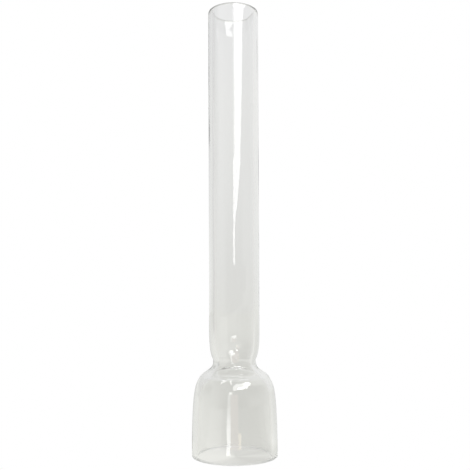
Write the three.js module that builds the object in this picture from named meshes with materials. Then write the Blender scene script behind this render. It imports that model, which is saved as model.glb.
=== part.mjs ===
// Clear glass oil-lamp chimney, blown in one piece.
// The origin is the middle of the foot, +Z runs up the axis, and sizes are in millimetres.

import * as THREE from "three";

// The whole glass
const HEIGHT = 245;
const SEGMENTS = 56;

// Foot and bell: the wide lower part that the burner's gallery holds
const FOOT_RADIUS = 23;
const FOOT_STRAIGHT = 4;
const FOOT_EDGE_RADIUS = 0.8;
const BELL_HANDLE = 32.5;

// Shoulder: where the outline turns from bulging out to curving in
const SHOULDER_RADIUS = 18.6;
const SHOULDER_HEIGHT = 42.2;
const SHOULDER_ANGLE = THREE.MathUtils.degToRad(57);
const SHOULDER_HANDLE_BELOW = 4.3;
const SHOULDER_HANDLE_ABOVE = 3.5;

// Waist: the narrow throat that draws the air on to the flame
const WAIST_RADIUS = 11.5;
const WAIST_HEIGHT = 50.4;
const WAIST_HANDLE_BELOW = 4.8;
const WAIST_HANDLE_ABOVE = 2.6;

// Tube: the long upper part, which opens very slightly towards the top
const TUBE_RADIUS_LOW = 13.7;
const TUBE_RADIUS_TOP = 14;
const TUBE_START = 69.1;
const TUBE_HANDLE = 18;

// Glass thickness, which thins slightly from the bell to the tube; the top rim is fully rounded
const BELL_WALL = 2.8;
const TUBE_WALL = 2.6;
const WALL_THINS_FROM = 55;
const WALL_THINS_TO = 80;

// Points along each stretch of the outline
const BELL_STEPS = 7;
const SHOULDER_STEPS = 6;
const NECK_STEPS = 7;
const TUBE_STEPS = 4;
const EDGE_STEPS = 3;
const RIM_STEPS = 8;

function wallAt(height) {
  const thinned = THREE.MathUtils.smoothstep(height, WALL_THINS_FROM, WALL_THINS_TO);
  return THREE.MathUtils.lerp(BELL_WALL, TUBE_WALL, thinned);
}

// Points on a circle of the profile, from one angle to another
function arcPoints(centre, radius, from, to, steps) {
  const points = [];
  for (let step = 0; step <= steps; step += 1) {
    const angle = THREE.MathUtils.lerp(from, to, step / steps);
    const spoke = new THREE.Vector2(Math.cos(angle), Math.sin(angle));
    points.push(spoke.multiplyScalar(radius).add(centre));
  }
  return points;
}

// The outside of the wall, from the foot's edge to where the top rim starts to round over
function outerCurves(rimHeight) {
  const shoulder = new THREE.Vector2(SHOULDER_RADIUS, SHOULDER_HEIGHT);
  const slope = new THREE.Vector2(-Math.cos(SHOULDER_ANGLE), Math.sin(SHOULDER_ANGLE));
  const bell = new THREE.CubicBezierCurve(
    new THREE.Vector2(FOOT_RADIUS, FOOT_STRAIGHT),
    new THREE.Vector2(FOOT_RADIUS, FOOT_STRAIGHT + BELL_HANDLE),
    shoulder.clone().addScaledVector(slope, -SHOULDER_HANDLE_BELOW),
    shoulder,
  );
  const turn = new THREE.CubicBezierCurve(
    shoulder,
    shoulder.clone().addScaledVector(slope, SHOULDER_HANDLE_ABOVE),
    new THREE.Vector2(WAIST_RADIUS, WAIST_HEIGHT - WAIST_HANDLE_BELOW),
    new THREE.Vector2(WAIST_RADIUS, WAIST_HEIGHT),
  );
  const neck = new THREE.CubicBezierCurve(
    new THREE.Vector2(WAIST_RADIUS, WAIST_HEIGHT),
    new THREE.Vector2(WAIST_RADIUS, WAIST_HEIGHT + WAIST_HANDLE_ABOVE),
    new THREE.Vector2(TUBE_RADIUS_LOW, TUBE_START - TUBE_HANDLE),
    new THREE.Vector2(TUBE_RADIUS_LOW, TUBE_START),
  );
  const tube = new THREE.LineCurve(
    new THREE.Vector2(TUBE_RADIUS_LOW, TUBE_START),
    new THREE.Vector2(TUBE_RADIUS_TOP, rimHeight),
  );
  return [
    { curve: bell, steps: BELL_STEPS },
    { curve: turn, steps: SHOULDER_STEPS },
    { curve: neck, steps: NECK_STEPS },
    { curve: tube, steps: TUBE_STEPS },
  ];
}

// Both faces of the wall, bottom to top: the inner face is the outer one moved in by the thickness
function wallFaces(rimHeight) {
  const outer = [];
  const inner = [];
  for (const { curve, steps } of outerCurves(rimHeight)) {
    const first = outer.length === 0 ? 0 : 1;
    for (let step = first; step <= steps; step += 1) {
      const point = curve.getPoint(step / steps);
      const along = curve.getTangent(step / steps);
      const inward = new THREE.Vector2(-along.y, along.x);
      outer.push(point);
      inner.push(point.clone().addScaledVector(inward, wallAt(point.y)));
    }
  }
  return { outer, inner };
}

// The closed outline of the glass on one side of the axis
function chimneyProfile() {
  const quarter = Math.PI / 2;
  const rimRadius = TUBE_WALL / 2;
  const rimCentre = new THREE.Vector2(TUBE_RADIUS_TOP - rimRadius, HEIGHT - rimRadius);
  const outerEdge = new THREE.Vector2(FOOT_RADIUS - FOOT_EDGE_RADIUS, FOOT_EDGE_RADIUS);
  const innerEdge = new THREE.Vector2(FOOT_RADIUS - BELL_WALL + FOOT_EDGE_RADIUS, FOOT_EDGE_RADIUS);
  const { outer, inner } = wallFaces(rimCentre.y);
  return [
    ...arcPoints(outerEdge, FOOT_EDGE_RADIUS, -quarter, 0, EDGE_STEPS),
    ...outer,
    ...arcPoints(rimCentre, rimRadius, 0, Math.PI, RIM_STEPS).slice(1, -1),
    ...inner.reverse(),
    ...arcPoints(innerEdge, FOOT_EDGE_RADIUS, Math.PI, Math.PI + quarter, EDGE_STEPS),
    new THREE.Vector2(outerEdge.x, 0),
  ];
}

function makeChimney() {
  const geometry = new THREE.LatheGeometry(chimneyProfile(), SEGMENTS);
  geometry.rotateX(Math.PI / 2);
  const glass = new THREE.MeshStandardMaterial({
    color: 0xe6e8e3,
    roughness: 0.04,
    metalness: 0,
    transparent: true,
    opacity: 0.4,
  });
  const chimney = new THREE.Mesh(geometry, glass);
  chimney.name = "chimney";
  return chimney;
}

const lampChimney = new THREE.Group();
lampChimney.add(makeChimney());

export default lampChimney;
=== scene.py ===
# A clear blown-glass oil-lamp chimney, standing on a pale floor in a soft studio light.
# Sizes are in metres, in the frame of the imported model: the origin is the middle of the foot and +Z is up.

import math
import random

import bpy
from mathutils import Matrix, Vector


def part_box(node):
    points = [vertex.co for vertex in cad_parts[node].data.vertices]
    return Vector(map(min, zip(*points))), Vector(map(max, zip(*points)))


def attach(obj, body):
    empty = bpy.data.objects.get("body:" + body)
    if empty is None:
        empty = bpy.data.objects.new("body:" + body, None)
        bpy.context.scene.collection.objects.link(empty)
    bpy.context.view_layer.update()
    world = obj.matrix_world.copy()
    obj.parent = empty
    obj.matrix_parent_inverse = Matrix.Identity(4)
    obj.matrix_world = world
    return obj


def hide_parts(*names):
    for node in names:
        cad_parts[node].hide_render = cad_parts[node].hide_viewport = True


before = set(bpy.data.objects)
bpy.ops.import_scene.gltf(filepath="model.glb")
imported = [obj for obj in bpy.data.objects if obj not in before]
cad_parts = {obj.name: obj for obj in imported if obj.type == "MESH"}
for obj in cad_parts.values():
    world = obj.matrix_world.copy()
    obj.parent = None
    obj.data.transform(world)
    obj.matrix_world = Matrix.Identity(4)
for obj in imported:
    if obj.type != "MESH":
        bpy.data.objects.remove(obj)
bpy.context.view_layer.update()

MM = 0.001
NODE = "chimney"
BOX_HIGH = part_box(NODE)[1]
HEIGHT = BOX_HIGH.z
FOOT_RADIUS = BOX_HIGH.x

# ---------------------------------------------------------------------------------------------
# Outline of the glass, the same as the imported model's
# ---------------------------------------------------------------------------------------------

FOOT_STRAIGHT = 4 * MM
FOOT_EDGE_RADIUS = 0.8 * MM
BELL_HANDLE = 32.5 * MM

SHOULDER = Vector((18.6, 42.2)) * MM
SHOULDER_ANGLE = math.radians(57)
SHOULDER_SLOPE = Vector((-math.cos(SHOULDER_ANGLE), math.sin(SHOULDER_ANGLE)))
SHOULDER_HANDLE_BELOW = 4.3 * MM
SHOULDER_HANDLE_ABOVE = 3.5 * MM

WAIST = Vector((11.5, 50.4)) * MM
WAIST_HANDLE_BELOW = 4.8 * MM
WAIST_HANDLE_ABOVE = 2.6 * MM

TUBE_FOOT = Vector((13.7, 69.1)) * MM
TUBE_HANDLE = 18 * MM
TUBE_RADIUS_TOP = 14 * MM

BELL_WALL = 2.8 * MM
TUBE_WALL = 2.6 * MM
WALL_THINS_FROM = 55 * MM
WALL_THINS_TO = 80 * MM

# Sides of the round, and steps round the foot's two edges and the rim
SEGMENTS = 160
EDGE_STEPS = 8
RIM_STEPS = 32


def smoothstep(value, low, high):
    t = min(max((value - low) / (high - low), 0.0), 1.0)
    return t * t * (3 - 2 * t)


def bell_curve(value, centre, width):
    return math.exp(-(((value - centre) / width) ** 2))


def wall_at(height):
    return BELL_WALL + (TUBE_WALL - BELL_WALL) * smoothstep(height, WALL_THINS_FROM, WALL_THINS_TO)


def bezier(points, t):
    """Point and tangent of a cubic Bezier curve at t."""
    a, b, c, d = points
    s = 1 - t
    point = a * s**3 + b * (3 * s * s * t) + c * (3 * s * t * t) + d * t**3
    tangent = (b - a) * (3 * s * s) + (c - b) * (6 * s * t) + (d - c) * (3 * t * t)
    return point, tangent.normalized()


def outline(rim_foot):
    """Points up the outside of the wall with their tangents, from the foot's edge to the round rim."""
    up = Vector((0, 1))
    foot = Vector((FOOT_RADIUS, FOOT_STRAIGHT))
    edge = Vector((FOOT_RADIUS, FOOT_EDGE_RADIUS))
    tube_top = Vector((TUBE_RADIUS_TOP, rim_foot))
    turn_from = SHOULDER + SHOULDER_SLOPE * SHOULDER_HANDLE_ABOVE
    # Each stretch is its number of steps and its Bezier points
    stretches = [
        (8, [edge, edge.lerp(foot, 1 / 3), edge.lerp(foot, 2 / 3), foot]),
        (70, [foot, foot + up * BELL_HANDLE, SHOULDER - SHOULDER_SLOPE * SHOULDER_HANDLE_BELOW, SHOULDER]),
        (44, [SHOULDER, turn_from, WAIST - up * WAIST_HANDLE_BELOW, WAIST]),
        (56, [WAIST, WAIST + up * WAIST_HANDLE_ABOVE, TUBE_FOOT - up * TUBE_HANDLE, TUBE_FOOT]),
        (90, [TUBE_FOOT, TUBE_FOOT.lerp(tube_top, 1 / 3), TUBE_FOOT.lerp(tube_top, 2 / 3), tube_top]),
    ]
    samples = []
    for steps, points in stretches:
        first = 1 if samples else 0
        for step in range(first, steps + 1):
            samples.append(bezier(points, step / steps))
    return samples


def arc(centre, radius, start, end, steps):
    points = []
    for step in range(steps + 1):
        angle = start + (end - start) * step / steps
        points.append(centre + Vector((math.cos(angle), math.sin(angle))) * radius)
    return points


# ---------------------------------------------------------------------------------------------
# What the blowing and tooling left in the glass: small waves on each face of the wall
# ---------------------------------------------------------------------------------------------

rng = random.Random(7)


class Waves:
    """A smooth seeded wobble round and along the glass, from a few sine waves."""

    def __init__(self, lobes, pitches, size, count):
        self.size = size / math.sqrt(count)
        self.waves = []
        for _ in range(count):
            around = rng.choice(lobes)
            along = rng.uniform(*pitches)
            sign = rng.choice((-1, 1))
            self.waves.append((around, sign * 2 * math.pi / along, rng.uniform(0, 2 * math.pi)))

    def __call__(self, theta, height):
        total = 0.0
        for around, along, phase in self.waves:
            total += math.sin(around * theta + along * height + phase)
        return total * self.size


# Where the tongs dimpled and ringed the glass, as middle height and spread, and the still stretch at each end
TOOLED = (WAIST.y - 4 * MM, 9 * MM)
RINGED = (WAIST.y - 3.2 * MM, 2.6 * MM)
STILL_END = 4 * MM

# Shallow dents that the tongs left in the front of the neck: azimuth in degrees, height, radius and depth
TONG_MARKS = [(-7, 55.4 * MM, 3.4 * MM, 0.52 * MM), (1, 52.5 * MM, 1.4 * MM, 0.22 * MM),
              (6, 58.5 * MM, 1.3 * MM, 0.24 * MM)]


def tong_marks(theta, height):
    depth = 0.0
    for azimuth, middle, radius, most in TONG_MARKS:
        aside = math.remainder(theta - math.radians(azimuth - 90), 2 * math.pi) * WAIST.x
        depth += most * bell_curve(aside, 0, radius) * bell_curve(height, middle, radius)
    return depth


class Face:
    """The wobble of one face of the wall, by angle and height; only a marked face has the tong marks."""

    def __init__(self, marked):
        self.marked = marked
        # Lines from drawing the tube, slow swells from the blowing, dimples and fine rings from the tongs
        self.draw = Waves((3, 5, 7, 9, 12, 16), (180 * MM, 500 * MM), 0.02 * MM, 7)
        self.blow = Waves((1, 2, 3, 4), (30 * MM, 80 * MM), 0.04 * MM, 6)
        self.tool = Waves((2, 3, 4, 5, 6, 8), (5 * MM, 11 * MM), 0.04 * MM, 8)
        self.rings = Waves((0, 1, 1), (1.7 * MM, 2.4 * MM), 0.018 * MM, 3)

    def __call__(self, theta, height):
        tooled = bell_curve(height, *TOOLED)
        ringed = bell_curve(height, *RINGED)
        ends = smoothstep(height, 0, STILL_END) * (1 - smoothstep(height, HEIGHT - STILL_END, HEIGHT))
        offset = self.draw(theta, height) + self.blow(theta, height)
        offset += self.tool(theta, height) * tooled + self.rings(theta, height) * ringed
        if self.marked:
            offset -= tong_marks(theta, height)
        return offset * ends


def chimney_rows():
    """Closed outline of the glass on one side of the axis: each row is (point, outward, face)."""
    quarter = math.pi / 2
    outer_face = Face(True)
    inner_face = Face(False)
    rim_radius = TUBE_WALL / 2
    rim_centre = Vector((TUBE_RADIUS_TOP - rim_radius, HEIGHT - rim_radius))
    outer_edge = Vector((FOOT_RADIUS - FOOT_EDGE_RADIUS, FOOT_EDGE_RADIUS))
    inner_edge = Vector((FOOT_RADIUS - BELL_WALL + FOOT_EDGE_RADIUS, FOOT_EDGE_RADIUS))
    still = Vector((0, 0))
    rows = [(p, still, None) for p in arc(outer_edge, FOOT_EDGE_RADIUS, -quarter, 0, EDGE_STEPS)[:-1]]
    inner = []
    for point, tangent in outline(rim_centre.y):
        outward = Vector((tangent.y, -tangent.x))
        rows.append((point, outward, outer_face))
        inner.append((point - outward * wall_at(point.y), outward, inner_face))
    rows += [(p, still, None) for p in arc(rim_centre, rim_radius, 0, math.pi, RIM_STEPS)[1:-1]]
    rows += reversed(inner)
    inner_turn = arc(inner_edge, FOOT_EDGE_RADIUS, math.pi, math.pi + quarter, EDGE_STEPS)
    rows += [(p, still, None) for p in inner_turn[1:]]
    return rows


def make_chimney():
    rows = chimney_rows()
    vertices = []
    for point, outward, face in rows:
        for segment in range(SEGMENTS):
            theta = 2 * math.pi * segment / SEGMENTS
            offset = face(theta, point.y) if face else 0.0
            radius = point.x + outward.x * offset
            height = point.y + outward.y * offset
            vertices.append((radius * math.cos(theta), radius * math.sin(theta), height))
    faces = []
    for row in range(len(rows)):
        below = row * SEGMENTS
        above = (row + 1) % len(rows) * SEGMENTS
        for segment in range(SEGMENTS):
            beside = (segment + 1) % SEGMENTS
            faces.append((below + segment, below + beside, above + beside, above + segment))
    mesh = bpy.data.meshes.new("chimney_glass")
    mesh.from_pydata(vertices, [], faces)
    mesh.polygons.foreach_set("use_smooth", [True] * len(faces))
    mesh.validate()
    mesh.update()
    glass = bpy.data.objects.new("chimney_glass", mesh)
    bpy.context.scene.collection.objects.link(glass)
    return glass


# ---------------------------------------------------------------------------------------------
# Materials
# ---------------------------------------------------------------------------------------------


# A colour Mix node has sockets of every data type, and these are its colour ones
COLOUR_A = 6
COLOUR_B = 7
COLOUR_RESULT = 2

WHITE = (1, 1, 1)


def new_material(name):
    material = bpy.data.materials.new(name)
    material.use_nodes = True
    return material, material.node_tree.nodes, material.node_tree.links


def set_ramp(ramp, stops):
    elements = ramp.color_ramp.elements
    while len(elements) > 1:
        elements.remove(elements[-1])
    elements[0].position = stops[0][0]
    elements[0].color = (*stops[0][1], 1)
    for position, colour in stops[1:]:
        elements.new(position).color = (*colour, 1)


def grey(value):
    return (value, value, value)


def warm(value, blue=0.965):
    """Grey with a little less blue."""
    return (value, value, value * blue)


def map_range(nodes, links, source, low, high, most=1.0, smooth=False):
    """Output that runs from 0 to most while the source runs from low to high."""
    node = nodes.new("ShaderNodeMapRange")
    if smooth:
        node.interpolation_type = "SMOOTHSTEP"
    node.inputs["From Min"].default_value = low
    node.inputs["From Max"].default_value = high
    node.inputs["To Max"].default_value = most
    links.new(source, node.inputs["Value"])
    return node.outputs["Result"]


def mix_colours(nodes, links, share, first, second, blend="MIX"):
    """Output of a colour mix; share, first and second are outputs of other nodes or plain values."""
    mix = nodes.new("ShaderNodeMix")
    mix.data_type = "RGBA"
    mix.blend_type = blend
    for socket, value in ((mix.inputs["Factor"], share), (mix.inputs[COLOUR_A], first),
                          (mix.inputs[COLOUR_B], second)):
        if isinstance(value, bpy.types.NodeSocket):
            links.new(value, socket)
        else:
            socket.default_value = value
    return mix.outputs[COLOUR_RESULT]


def glass_material():
    material, nodes, links = new_material("clear_glass")
    shader = nodes["Principled BSDF"]
    shader.inputs["Transmission Weight"].default_value = 1.0
    shader.inputs["IOR"].default_value = 1.51
    shader.inputs["Metallic"].default_value = 0.0

    place = nodes.new("ShaderNodeTexCoord")

    # A faint grey base colour, a little darker and less blue in the bell than in the tube
    split = nodes.new("ShaderNodeSeparateXYZ")
    links.new(place.outputs["Object"], split.inputs[0])
    rise = map_range(nodes, links, split.outputs["Z"], 0, HEIGHT)
    base_grey_by_height = nodes.new("ShaderNodeValToRGB")
    set_ramp(base_grey_by_height, [(0.0, (0.965, 0.965, 0.955)), (0.3, (0.97, 0.97, 0.965)), (1.0, (0.98, 0.98, 0.98))])
    links.new(rise, base_grey_by_height.inputs["Fac"])
    links.new(base_grey_by_height.outputs["Color"], shader.inputs["Base Color"])

    # Faint smears, where the fire polish is less than perfect
    smear = nodes.new("ShaderNodeTexNoise")
    smear.inputs["Scale"].default_value = 60
    smear.inputs["Detail"].default_value = 4
    links.new(place.outputs["Object"], smear.inputs["Vector"])
    polish = map_range(nodes, links, smear.outputs["Fac"], 0.4, 0.75, 0.05)

    # The rim and the foot's edge were ground and only lightly polished
    ground = nodes.new("ShaderNodeValToRGB")
    rim_share = 1 - TUBE_WALL / 2 / HEIGHT
    foot_share = FOOT_EDGE_RADIUS / HEIGHT
    set_ramp(ground, [(0, grey(0.5)), (foot_share, grey(0.45)), (2.5 * foot_share, grey(0)),
                      (rim_share - foot_share, grey(0)), (rim_share, grey(0.12)), (1, grey(0.35))])
    links.new(rise, ground.inputs["Fac"])
    rough = nodes.new("ShaderNodeMath")
    rough.operation = "MAXIMUM"
    links.new(polish, rough.inputs[0])
    links.new(ground.outputs["Color"], rough.inputs[1])
    links.new(rough.outputs[0], shader.inputs["Roughness"])

    # Soda glass is faintly green along its edges, where light goes a long way through it
    depth = nodes.new("ShaderNodeVolumeAbsorption")
    depth.inputs["Color"].default_value = (0.58, 0.70, 0.60, 1)
    depth.inputs["Density"].default_value = 5
    links.new(depth.outputs[0], nodes["Material Output"].inputs["Volume"])
    return material


def room_ring(nodes, links, turn, stops):
    """Colour ramp round the glass: stops are (azimuth in degrees as in direction(), grey or colour)."""
    ring = nodes.new("ShaderNodeValToRGB")
    places = sorted(((azimuth / 360 + 0.25) % 1, shade) for azimuth, shade in stops)
    first = places[0]
    last = places[-1]
    gap = first[0] + 1 - last[0]
    share = (1 - last[0]) / gap
    seam = tuple(low + (high - low) * share for low, high in zip(last[1], first[1]))
    set_ramp(ring, [(0, seam), *places, (1, seam)])
    links.new(turn.outputs["Fac"], ring.inputs["Fac"])
    return ring.outputs["Color"]


def floor_material():
    """White to the camera; a duller grey where the glass shows or mirrors it."""
    material, nodes, links = new_material("pale_floor")
    nodes.clear()
    place = nodes.new("ShaderNodeTexCoord")
    turn = nodes.new("ShaderNodeTexGradient")
    turn.gradient_type = "RADIAL"
    links.new(place.outputs["Object"], turn.inputs["Vector"])
    distance = nodes.new("ShaderNodeVectorMath")
    distance.operation = "LENGTH"
    links.new(place.outputs["Object"], distance.inputs[0])

    def ring(stops):
        return room_ring(nodes, links, turn, [(azimuth, warm(level)) for azimuth, level in stops])

    # From the glass outwards, each further ring takes over between two distances; the last meets the walls
    horizon_level = THROUGH_LEVELS[0][1]
    horizon_ring = [(azimuth, level * horizon_level) for azimuth, level in THROUGH_RING]
    floor = ring(NEAR_FLOOR_RING)
    for stops, start, end in ((FAR_FLOOR_RING, FOOT_RADIUS, 2.5 * FOOT_RADIUS), (horizon_ring, 0.3, 1.2)):
        away = map_range(nodes, links, distance.outputs["Value"], start, end, smooth=True)
        floor = mix_colours(nodes, links, away, floor, ring(stops))

    glow = nodes.new("ShaderNodeEmission")
    links.new(floor, glow.inputs["Color"])
    white = nodes.new("ShaderNodeEmission")
    white.inputs["Color"].default_value = (*WHITE, 1)
    ray = nodes.new("ShaderNodeLightPath")
    mix = nodes.new("ShaderNodeMixShader")
    links.new(ray.outputs["Is Camera Ray"], mix.inputs[0])
    links.new(glow.outputs[0], mix.inputs[1])
    links.new(white.outputs[0], mix.inputs[2])
    output = nodes.new("ShaderNodeOutputMaterial")
    links.new(mix.outputs[0], output.inputs["Surface"])
    return material


def light_material(name, colour, strength):
    material, nodes, links = new_material(name)
    nodes.clear()
    emission = nodes.new("ShaderNodeEmission")
    emission.inputs["Color"].default_value = (*colour, 1)
    emission.inputs["Strength"].default_value = strength
    output = nodes.new("ShaderNodeOutputMaterial")
    links.new(emission.outputs[0], output.inputs["Surface"])
    return material


# ---------------------------------------------------------------------------------------------
# Studio: world, floor, lights and camera
# ---------------------------------------------------------------------------------------------

# What surrounds the glass, as (azimuth in degrees, level): the grey floor and walls seen through it, and the
# walls it mirrors. Azimuth 0 is the camera's side (-Y) and 90 is +X.
NEAR_FLOOR_RING = [(-150, 0.82), (-100, 0.86), (-60, 0.86), (-30, 0.78), (0, 0.74), (40, 0.68), (70, 0.70),
                   (100, 0.78), (125, 0.68), (150, 0.72), (180, 0.70)]
FAR_FLOOR_RING = [(-165, 0.78), (-150, 0.84), (-110, 0.82), (-60, 0.84), (0, 0.78), (60, 0.84), (110, 0.90),
                  (150, 0.74), (180, 0.69)]
THROUGH_RING = [(-160, 1.0), (-135, 0.90), (-118, 0.74), (-95, 0.72), (-60, 0.80), (0, 0.80), (60, 0.88),
                (110, 1.0), (180, 1.0)]
LOW_MIRROR_RING = [(-180, 1.0), (-130, 0.95), (-50, 0.90), (-30, 0.15), (30, 0.15), (50, 0.85), (130, 0.9)]
HIGH_MIRROR_RING = [(-150, 0.5), (-135, 0.3), (-120, 0.6), (-104, 0.9), (-97, 0.0), (-80, 0.0), (-66, 0.8),
                    (-40, 0.6), (-12, 0.4), (40, 0.1), (57, 0.1), (76, 0.2), (86, 0.3), (114, 0.7),
                    (148, 0.9)]

# The same walls by height: elevation in degrees, level, and blue's share of it
THROUGH_LEVELS = [(0, 0.80, 0.975), (3.3, 0.81, 0.985), (10, 0.85, 0.99), (17, 0.875, 0.99),
                  (22.5, 0.87, 1.0), (30, 0.86, 1.0), (90, 0.86, 1.0)]

# Glowing bands round the glass on the floor, which only mirroring faces show: they paint the light and dark
# bands of reflection in the glass. Each is start and end azimuth, and level
MIRRORED_BANDS = [(-165, -105, 0.70), (-105, -68, 0.92), (-68, -31, 1.40), (-31, 12, 0.74), (12, 32, 0.42),
          (32, 66, 0.24), (66, 84, 0.60), (84, 105, 0.95), (105, 165, 0.85)]

# Half the floor's width, and how far it lies below the foot
FLOOR_REACH = 3.0
FLOOR_DROP = 0.4 * MM

# Sines of the elevations between which the low mirrored walls give way to the high ones
MIRROR_CLIMB = (0.02, 0.26)

# Distances from the axis, in millimetres, of what stands or lies near the glass
SOFTBOX_DISTANCE = 200
STRIP_DISTANCE = 100
NEAR_FLAG_DISTANCE = 60
NECK_LIGHT_DISTANCE = 16
BANDS_FROM = 60
BANDS_TO = 2900
GLOW_FROM = 20.5
GLOW_TO = 26

# Heights over the foot's plane, in millimetres, of what lies on the floor
LIGHT_LIFT = 0.2
BAND_LIFT = 0.1

# Distances of the high lights and of the dark flags, in metres
LIGHT_REACH = 6
FLAG_REACH = 7

# Colours of the lights
WARM_TONE = (1, 0.75, 0.70)
AMBER_TONE = (1, 0.85, 0.62)
GLOW_TONE = (1, 1, 0.97)

# The camera's angles are in degrees
CAMERA_DISTANCE = 364.2 * MM
CAMERA_HEIGHT = 84.1 * MM
CAMERA_TILT_UP = 4.25
CAMERA_ROLL = 0.23


def direction(azimuth, elevation):
    """Unit vector: azimuth 0 points at the camera's side (-Y) and turns towards +X, in degrees."""
    a = math.radians(azimuth)
    e = math.radians(elevation)
    return Vector((math.sin(a) * math.cos(e), -math.cos(a) * math.cos(e), math.sin(e)))


def make_world():
    """White to the camera, and a soft grey room to the glass."""
    world = bpy.data.worlds.new("studio")
    bpy.context.scene.world = world
    world.use_nodes = True
    nodes = world.node_tree.nodes
    links = world.node_tree.links
    nodes.clear()
    place = nodes.new("ShaderNodeTexCoord")
    turn = nodes.new("ShaderNodeTexGradient")
    turn.gradient_type = "RADIAL"
    links.new(place.outputs["Generated"], turn.inputs["Vector"])
    split = nodes.new("ShaderNodeSeparateXYZ")
    links.new(place.outputs["Generated"], split.inputs[0])

    def ring(stops):
        return room_ring(nodes, links, turn, [(azimuth, grey(level)) for azimuth, level in stops])

    rise = nodes.new("ShaderNodeValToRGB")
    stops = [(math.sin(math.radians(angle)), warm(level, blue)) for angle, level, blue in THROUGH_LEVELS]
    set_ramp(rise, stops)
    links.new(split.outputs["Z"], rise.inputs["Fac"])
    seen_through = mix_colours(nodes, links, 1.0, ring(THROUGH_RING), rise.outputs["Color"], "MULTIPLY")

    climb = map_range(nodes, links, split.outputs["Z"], *MIRROR_CLIMB, smooth=True)
    mirrored = mix_colours(nodes, links, climb, ring(LOW_MIRROR_RING), ring(HIGH_MIRROR_RING))

    ray = nodes.new("ShaderNodeLightPath")
    room = mix_colours(nodes, links, ray.outputs["Is Transmission Ray"], mirrored, seen_through)
    studio = mix_colours(nodes, links, ray.outputs["Is Camera Ray"], room, (*WHITE, 1))
    background = nodes.new("ShaderNodeBackground")
    links.new(studio, background.inputs["Color"])
    output = nodes.new("ShaderNodeOutputWorld")
    links.new(background.outputs[0], output.inputs["Surface"])


def make_panel(name, corners, material, seen_by_camera=False):
    mesh = bpy.data.meshes.new(name)
    mesh.from_pydata([tuple(c) for c in corners], [], [tuple(range(len(corners)))])
    mesh.materials.append(material)
    panel = bpy.data.objects.new(name, mesh)
    bpy.context.scene.collection.objects.link(panel)
    panel.visible_camera = seen_by_camera
    return panel


def make_floor():
    """Just below the foot, so that the two don't lie in one plane."""
    signs = ((-1, -1), (1, -1), (1, 1), (-1, 1))
    corners = [(x * FLOOR_REACH, y * FLOOR_REACH, -FLOOR_DROP) for x, y in signs]
    make_panel("floor", corners, floor_material(), seen_by_camera=True)


def on_floor(azimuth, distance, lift=LIGHT_LIFT):
    """Point over the floor: azimuth in degrees, distance from the axis and lift in millimetres."""
    return direction(azimuth, 0) * distance * MM + Vector((0, 0, lift * MM))


def upright(azimuth, height, distance):
    """Point beside the glass: azimuth in degrees, height and distance from the axis in millimetres."""
    return direction(azimuth, 0) * distance * MM + Vector((0, 0, height * MM))


def in_sky(azimuth, elevation, reach=LIGHT_REACH):
    """Point far from the shoulder: azimuth and elevation in degrees, reach in metres."""
    return Vector((0, 0, SHOULDER.y)) + direction(azimuth, elevation) * reach


def card(name, corners, strength, colour=WHITE):
    """Glowing card that shows only in the faces that mirror it."""
    panel = make_panel(name, corners, light_material(name, colour, strength))
    panel.visible_transmission = False


def upright_card(name, distance, left, right, low, high, strength, colour=WHITE):
    """Card beside the glass between two azimuths and two heights."""
    corners = ((left, low), (right, low), (right, high), (left, high))
    card(name, [upright(*corner, distance) for corner in corners], strength, colour)


def ribbon(name, spine, width, strength):
    """Glowing ribbon along a line of points, facing the foot of the glass."""
    left = []
    right = []
    for index, point in enumerate(spine):
        before = spine[max(index - 1, 0)]
        after = spine[min(index + 1, len(spine) - 1)]
        side = (after - before).cross(point).normalized() * width / 2
        left.append(point + side)
        right.append(point - side)
    card(name, left + right[::-1], strength)


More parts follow.
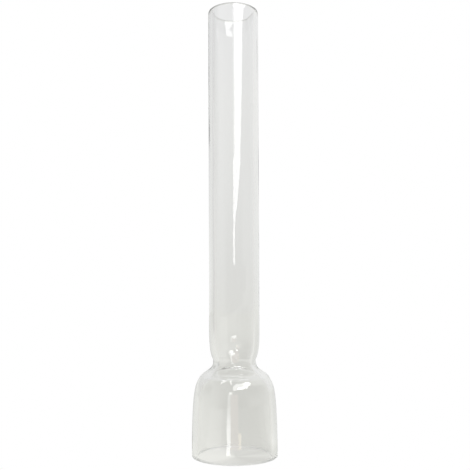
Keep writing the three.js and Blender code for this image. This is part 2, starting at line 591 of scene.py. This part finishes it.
def make_lights():
    # The softbox stands close by at the right; its left side is dimmer, and a strip hangs from its low corner
    softbox = [(-4, 109), (4.8, 109), (5.5, 145), (16.4, 163), (29, 192), (33.8, 220), (34.8, 250),
               (36.7, 280), (41.5, 310), (44.5, 323), (47, 327), (54, 331), (54, 345), (19, 345), (19, 326),
               (3, 326), (3, 200), (-4.5, 195)]
    card("softbox", [upright(*corner, SOFTBOX_DISTANCE) for corner in softbox], 6.5)
    upright_card("softbox_edge", SOFTBOX_DISTANCE, -7, -2, 200, 326, 0.6)
    upright_card("softbox_fade", SOFTBOX_DISTANCE, -2, 3, 200, 326, 2.2)

    # A small flag keeps most of the softbox out of the shoulder's mirror
    flag = ((-8, 88), (20, 88), (48, 88), (48, 104), (20, 104), (-8, 104))
    card("near_flag", [upright(*corner, NEAR_FLAG_DISTANCE) for corner in flag], 0.15)

    # High lights, which the shoulder shows and which are too high for the tube to mirror
    wing = [(4, 26), (13, 50), (42, 51), (64, 41), (50, 34), (44, 36), (40, 30), (30, 32), (26, 26), (14, 26)]
    card("wing_light", [in_sky(*corner) for corner in wing], 16)
    arch = [(-53, 45), (-57, 52), (-43, 58), (-22, 58), (-7, 47), (4, 27)]
    ribbon("arch_light", [in_sky(*point) for point in arch], 0.4, 8)
    card("high_bar", [in_sky(*corner) for corner in ((25, 61), (68, 57), (68, 53), (25, 57))], 8)
    card("top_light", [in_sky(*corner) for corner in ((120, 76), (160, 70), (200, 76), (160, 82))], 8)

    # Dark flags high up at the left, side by side
    for number, start in enumerate((-135, -105, -75)):
        flag = ((start, 33), (start + 30, 33), (start + 30, 75), (start, 75))
        card("dark_flag_%d" % number, [in_sky(*corner, FLAG_REACH) for corner in flag], 0.35)

    # Low lights in front, which the bell and the neck show: they lie on the floor and then stand up
    for name, left, right, start, end, strength, colour in (
        ("low_light", -17, -8.5, 45, STRIP_DISTANCE, 7, WHITE),
        ("warm_light", -8.5, 8, 62, STRIP_DISTANCE, 1.7, WARM_TONE),
        ("small_light", 8, 14, 64, STRIP_DISTANCE, 4, AMBER_TONE),
    ):
        corners = ((left, start), (right, start), (right, end), (left, end))
        card(name, [on_floor(*corner) for corner in corners], strength, colour)
    for name, *place, strength, colour in (
        ("strip_low", -18, -8.5, 0, 11, 6.5, WHITE),
        ("strip_fade_0", -18, -8.5, 11, 17, 5.2, WHITE),
        ("strip_fade_1", -18, -8.5, 17, 23, 4.1, WHITE),
        ("strip_fade_2", -17.5, -9, 23, 30, 3.2, WHITE),
        ("strip_middle", -17, -9.5, 30, 55, 2.5, WHITE),
        ("strip_cap", -14, -4, 55, 62, 7, WHITE),
        ("warm_upright", -8.5, 8, 0, 55, 1.7, WARM_TONE),
        ("small_upright", 8, 14, 0, 5, 4, AMBER_TONE),
    ):
        upright_card(name, STRIP_DISTANCE, *place, strength, colour)

    # Three small lights and two flags right in front of the neck, which is all that mirrors them
    star = [(-15.5, 54.2), (-9.5, 53.5), (-7, 52.3), (-4.5, 53.3), (1.5, 53.8), (-2, 54.5), (-6, 55.3),
            (-9, 54.7)]
    card("star_light", [upright(*corner, NECK_LIGHT_DISTANCE) for corner in star], 9)
    for name, *place, strength in (
        ("neck_light", -6.5, 5, 63, 64.6, 6),
        ("star_spot", 4, 8, 55.5, 57, 9),
        ("neck_flag", -16, 3, 55.4, 61, 0.35),
        ("neck_flag_high", -16, 5, 64.6, 68.5, 0.6),
    ):
        upright_card(name, NECK_LIGHT_DISTANCE, *place, strength)

    # White band round the front of the foot, on the floor, which lights its edge and shows through the glass
    azimuths = range(-110, 111, 10)
    edge = [on_floor(azimuth, GLOW_TO, BAND_LIFT) for azimuth in azimuths]
    bore = [on_floor(azimuth, GLOW_FROM, BAND_LIFT) for azimuth in reversed(azimuths)]
    make_panel("foot_glow", edge + bore, light_material("foot_glow", GLOW_TONE, 1.05))

    # Glowing bands on the floor, seen only in the glass's mirroring faces: painted reflections
    for number, (start, end, level) in enumerate(MIRRORED_BANDS):
        outer = [(start + (end - start) * part, BANDS_TO) for part in (1, 2 / 3, 1 / 3, 0)]
        corners = [(start, BANDS_FROM), (end, BANDS_FROM), *outer]
        card("paper_%d" % number, [on_floor(*corner, BAND_LIFT) for corner in corners], level)


def make_camera():
    data = bpy.data.cameras.new("camera")
    data.sensor_width = 36
    data.lens = 50.94
    data.shift_x = 0.0017
    data.shift_y = 0.03
    data.clip_start = 0.01
    data.clip_end = 20
    camera = bpy.data.objects.new("camera", data)
    camera.location = (0, -CAMERA_DISTANCE, CAMERA_HEIGHT)
    camera.rotation_mode = "XYZ"
    camera.rotation_euler = (math.radians(90 + CAMERA_TILT_UP), math.radians(CAMERA_ROLL), 0)
    bpy.context.scene.collection.objects.link(camera)
    bpy.context.scene.camera = camera


make_camera()
make_world()
make_floor()
make_lights()

glass = make_chimney()
glass.data.materials.append(glass_material())
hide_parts(NODE)
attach(glass, "root")

scene = bpy.context.scene
# Light goes round inside the thick wall many times before it comes out again
scene.cycles.max_bounces = 24
scene.cycles.glossy_bounces = 12
scene.cycles.transmission_bounces = 16
scene.view_settings.view_transform = "Standard"
scene.view_settings.look = "None"
